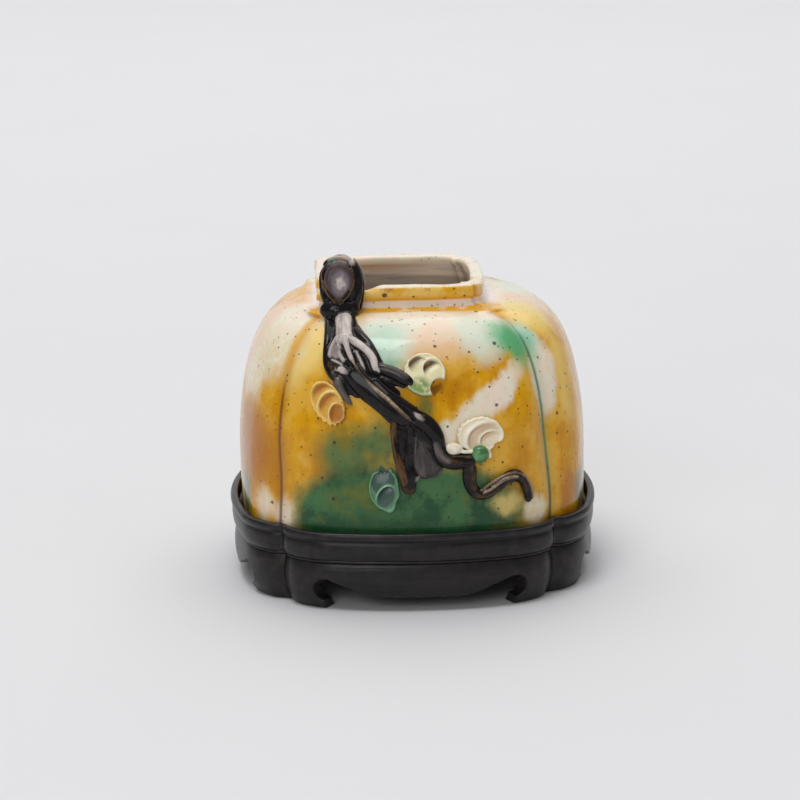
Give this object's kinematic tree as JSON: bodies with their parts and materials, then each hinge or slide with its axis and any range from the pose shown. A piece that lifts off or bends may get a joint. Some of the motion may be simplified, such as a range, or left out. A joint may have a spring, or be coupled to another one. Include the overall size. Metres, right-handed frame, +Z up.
{
  "type": "water coupe on stand",
  "caption": "Four-lobed square water coupe in splashed green, amber and cream glaze, with an applied branch and sprigs, lifting off a fitted dark wood stand.",
  "frame": {"origin": "on the ground below the middle of the stand", "axes": "+Z up, -Y to the front with the branch, +X to the right seen from the front"},
  "size_m": [0.084, 0.0842, 0.076],
  "materials": {
    "splashed_glaze": "glossy lead glaze",
    "aubergine_glaze": "glossy lead glaze",
    "amber_glaze": "glossy lead glaze",
    "green_glaze": "glossy lead glaze",
    "cream_glaze": "glossy lead glaze",
    "biscuit": "bare fired body",
    "dark_wood": "satin, waxed"
  },
  "bodies": {
    "stand": {"tray": "dark_wood", "apron_front": "dark_wood", "apron_right": "dark_wood", "apron_back": "dark_wood", "apron_left": "dark_wood"},
    "coupe": {"vessel_shell": "splashed_glaze", "base_slab": "biscuit", "neck_collar": "splashed_glaze", "branch_stump": "aubergine_glaze", "branch_trunk": "aubergine_glaze", "root_finger": "aubergine_glaze", "upper_twig": "aubergine_glaze", "left_twig": "aubergine_glaze", "left_leg": "aubergine_glaze", "right_leg": "aubergine_glaze", "fork_web": "aubergine_glaze", "tendril": "aubergine_glaze", "bud": "cream_glaze", "calyx_bead": "green_glaze", "sprig_amber": "amber_glaze", "sprig_upper": "cream_glaze", "sprig_lower": "cream_glaze", "sprig_green": "green_glaze"}
  },
  "joints": [
    {"name": "coupe_lift", "type": "slide", "parent": "stand", "child": "coupe", "axis": [0, 0, 1], "range_m": [0, 0.04]}
  ]
}
